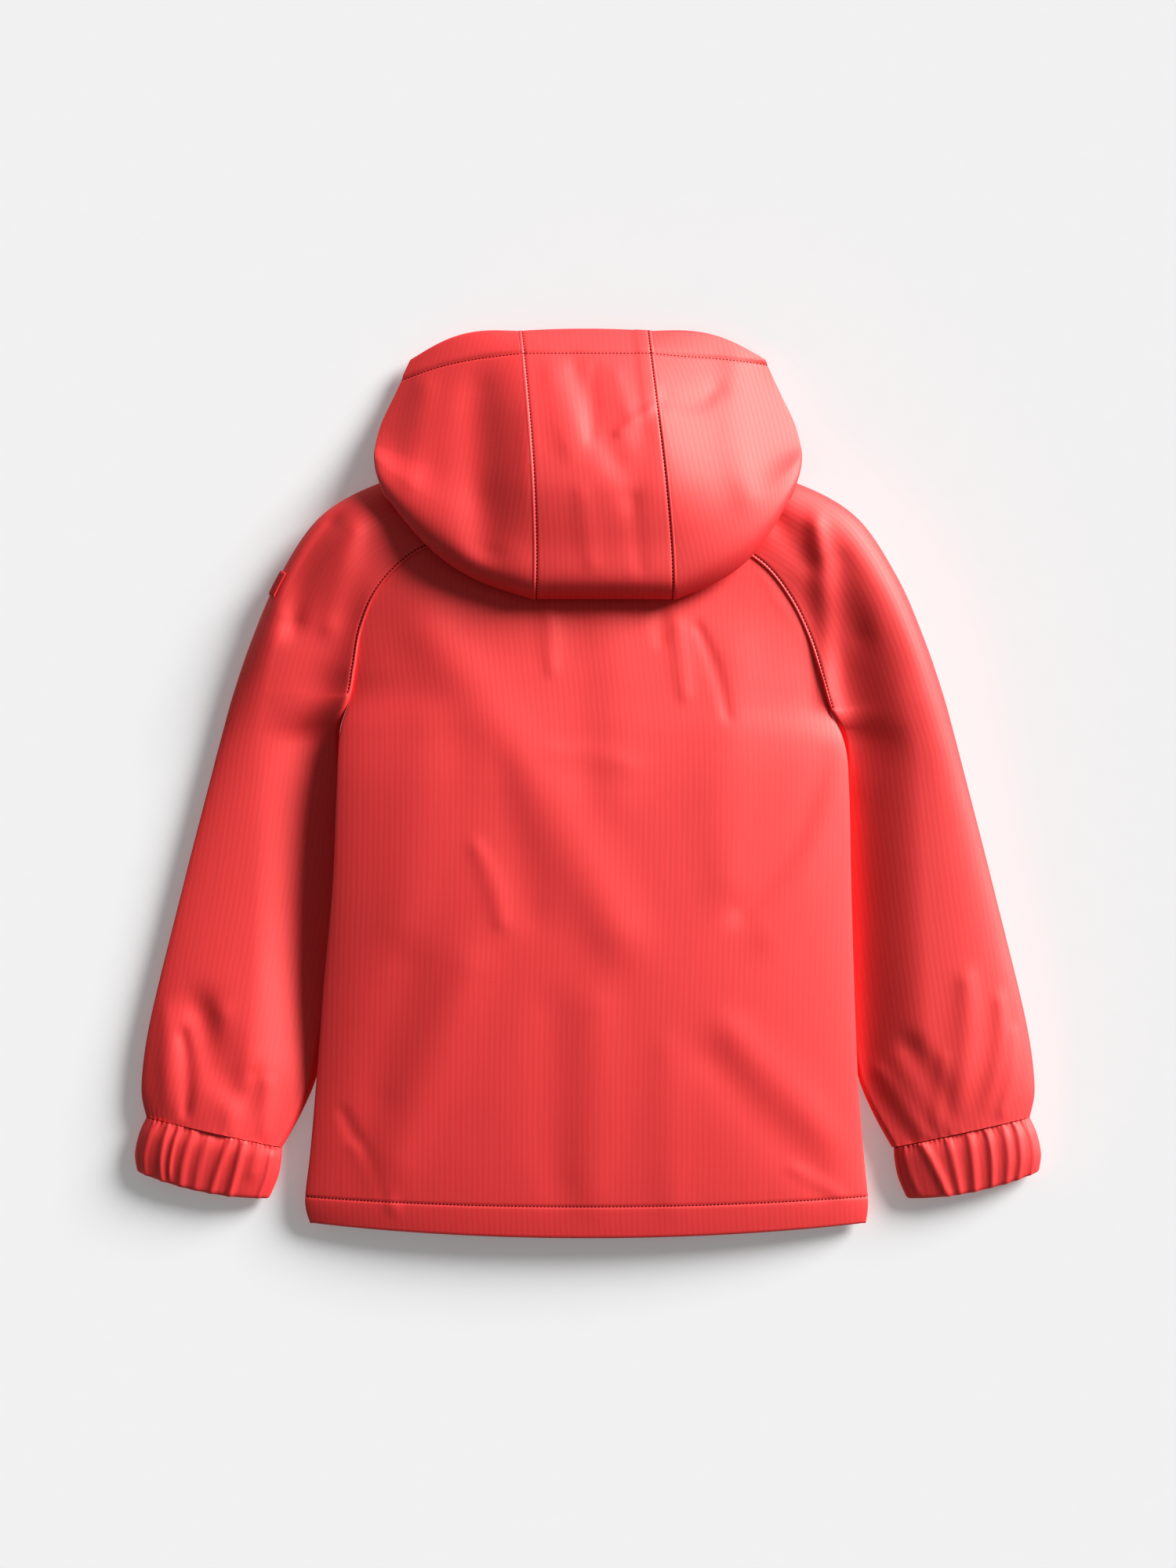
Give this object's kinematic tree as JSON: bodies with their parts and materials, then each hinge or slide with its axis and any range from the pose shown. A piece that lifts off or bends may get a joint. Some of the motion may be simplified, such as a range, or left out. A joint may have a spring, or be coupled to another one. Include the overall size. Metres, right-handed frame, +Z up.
{
  "type": "kids softshell jacket",
  "caption": "Child's hooded softshell jacket with raglan sleeves and elastic cuffs, laid flat face down with its back up.",
  "frame": {"origin": "middle of the outline's bounding box, on the surface that the jacket lies on", "axes": "+X to the right as the picture shows it, +Y from hem to hood, +Z up, away from the surface"},
  "size_m": [0.5798, 0.58, 0.0619],
  "materials": {
    "softshell": "matt coral woven softshell with fine ribs",
    "patch_cloth": "matt coral woven patch, bare",
    "zip_tape": "woven zip tape with moulded coral teeth",
    "zip_metal": "gunmetal enamel"
  },
  "bodies": {
    "garment": {"back_panel": "softshell", "left_front": "softshell", "right_front": "softshell", "left_sleeve": "softshell", "right_sleeve": "softshell", "left_cuff": "softshell", "right_cuff": "softshell", "hood_centre": "softshell", "hood_left": "softshell", "hood_right": "softshell", "sleeve_patch": "patch_cloth", "zip": "zip_tape", "zip_slider": "zip_metal"},
    "zip_pull": {"zip_pull": "zip_metal"}
  },
  "joints": [
    {"name": "zip_pull_hinge", "type": "hinge", "parent": "garment", "child": "zip_pull", "pos_m": [0, 0.163, 0.00275], "axis": [1, 0, 0], "range_deg": [0, 165]}
  ]
}
